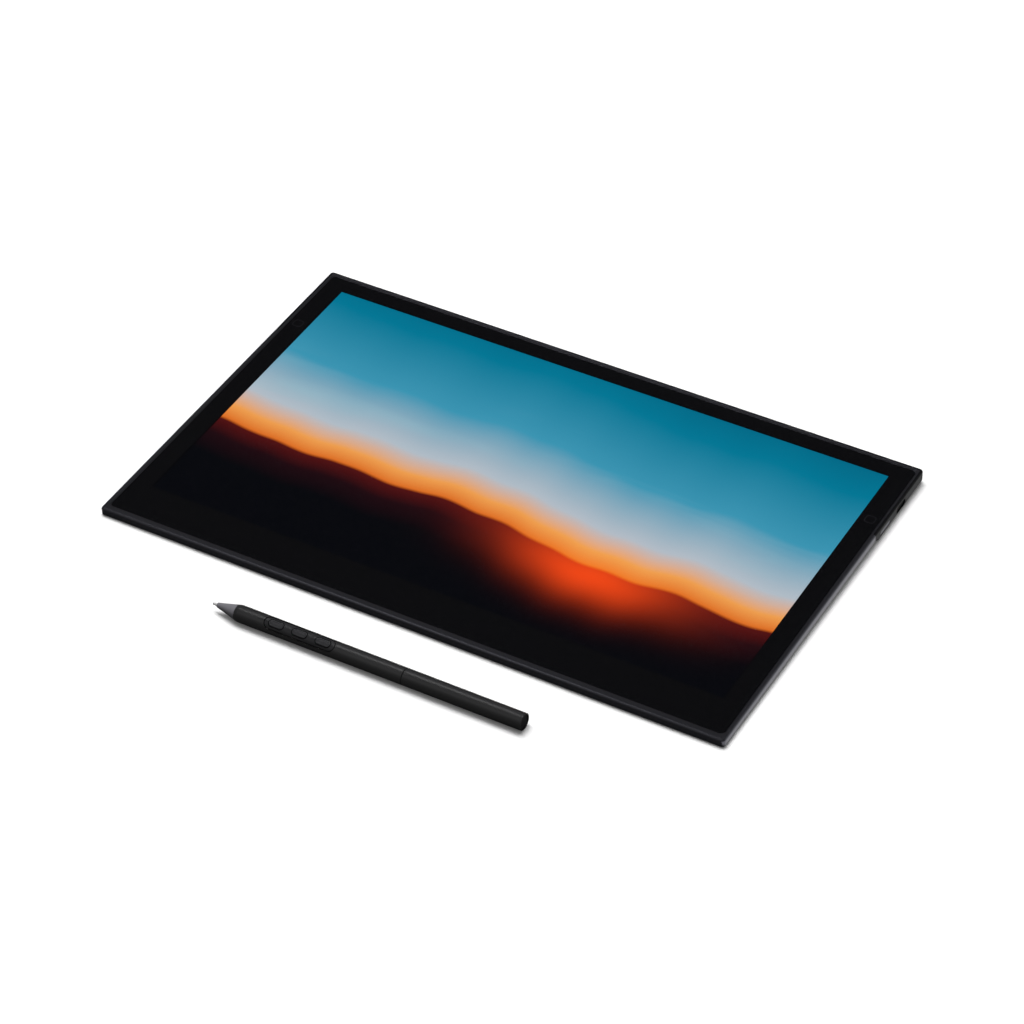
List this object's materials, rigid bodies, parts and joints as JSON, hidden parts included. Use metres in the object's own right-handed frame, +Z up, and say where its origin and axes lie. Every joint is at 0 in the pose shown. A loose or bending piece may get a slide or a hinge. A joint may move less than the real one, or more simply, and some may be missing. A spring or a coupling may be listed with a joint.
{
  "type": "graphics tablet with screen",
  "caption": "Slim pen display tablet with a glass-topped drawing screen, a thicker rear band with side ports and power key, and its stylus with side buttons and a screw-off end.",
  "frame": {"origin": "centre of the plan of the tablet and its pen together, on the desk they lie on", "axes": "+X to the user's right along the tablet's long side, +Y away from the user, +Z up"},
  "size_m": [0.319, 0.2348, 0.0081],
  "materials": {
    "cover_glass": "gloss",
    "border_ink": "matte",
    "clear_bond": "gloss",
    "display": "matte",
    "board": "satin",
    "ribbon": "satin",
    "shield": "satin",
    "adhesive": "matte",
    "electrode": "satin",
    "frame_metal": "satin",
    "cover_plastic": "matte",
    "thermal_pad": "matte",
    "port_steel": "satin",
    "port_plastic": "matte",
    "key_metal": "satin",
    "switch_plastic": "satin",
    "screw_steel": "satin",
    "foot_rubber": "matte",
    "nib_plastic": "satin",
    "nose_plastic": "satin",
    "barrel_plastic": "satin",
    "island_plastic": "satin",
    "button_plastic": "satin",
    "carrier_plastic": "satin",
    "ferrite": "matte",
    "coil_wire": "gloss",
    "gauge_plastic": "satin",
    "collar_metal": "satin",
    "holder_plastic": "satin",
    "weight_steel": "satin",
    "tail_plastic": "gloss"
  },
  "bodies": {
    "tablet": {"cover_glass": "cover_glass", "border_print": "border_ink", "optical_bond": "clear_bond", "display_panel": "display", "driver_board": "board", "display_ribbon": "ribbon", "display_cable": "ribbon", "sensor_sheet": "board", "sensor_tail": "ribbon", "shield_plate": "shield", "touch_pad_left": "electrode", "touch_pad_right": "electrode", "glass_gasket": "adhesive", "mid_frame": "frame_metal", "rear_cover": "cover_plastic", "main_board": "board", "small_board": "board", "board_link": "ribbon", "shield_can": "shield", "thermal_pad": "thermal_pad", "port_shell_left": "port_steel", "port_shell_right": "port_steel", "port_core_left": "port_plastic", "port_core_right": "port_plastic", "power_switch": "switch_plastic", "cover_screws": "screw_steel", "foot_front_left": "foot_rubber", "foot_front_right": "foot_rubber", "foot_rear_left": "foot_rubber", "foot_rear_right": "foot_rubber"},
    "pen": {"nose_cone": "nose_plastic", "front_barrel": "barrel_plastic", "button_island": "island_plastic", "side_switches": "switch_plastic", "pen_board": "board", "core_carrier": "carrier_plastic", "ferrite_core": "ferrite", "antenna_coil": "coil_wire", "pressure_gauge": "gauge_plastic", "threaded_collar": "collar_metal", "nib_holder": "holder_plastic", "spare_nibs": "nib_plastic"},
    "power_key": {"power_key": "key_metal"},
    "pen_nib": {"pen_nib": "nib_plastic"},
    "side_button_front": {"side_button_front": "button_plastic"},
    "side_button_middle": {"side_button_middle": "button_plastic"},
    "side_button_rear": {"side_button_rear": "button_plastic"},
    "rear_barrel": {"rear_barrel": "barrel_plastic", "balance_weight": "weight_steel", "tail_disc": "tail_plastic"}
  },
  "joints": [
    {"name": "power_key_press", "type": "slide", "parent": "tablet", "child": "power_key", "axis": [-1, 0, 0], "range_m": [0, 0.0003], "stiffness_N_per_m": 4000, "springref_m": -0.0001},
    {"name": "pen_lift", "type": "slide", "parent": "tablet", "child": "pen", "axis": [0, 0, 1], "range_m": [0, 0.1]},
    {"name": "nib_press", "type": "slide", "parent": "pen", "child": "pen_nib", "axis": [1, 0, 0], "range_m": [0, 0.00025], "stiffness_N_per_m": 6000, "springref_m": -0.00002},
    {"name": "side_button_front_press", "type": "slide", "parent": "pen", "child": "side_button_front", "axis": [0, 0.4226, -0.9063], "range_m": [0, 0.00025], "stiffness_N_per_m": 3000, "springref_m": -0.00015},
    {"name": "side_button_middle_press", "type": "slide", "parent": "pen", "child": "side_button_middle", "axis": [0, 0.4226, -0.9063], "range_m": [0, 0.00025], "stiffness_N_per_m": 3000, "springref_m": -0.00015},
    {"name": "side_button_rear_press", "type": "slide", "parent": "pen", "child": "side_button_rear", "axis": [0, 0.4226, -0.9063], "range_m": [0, 0.00025], "stiffness_N_per_m": 3000, "springref_m": -0.00015},
    {"name": "rear_barrel_pull", "type": "slide", "parent": "pen", "child": "rear_barrel", "axis": [1, 0, 0], "range_m": [0, 0.06]}
  ]
}
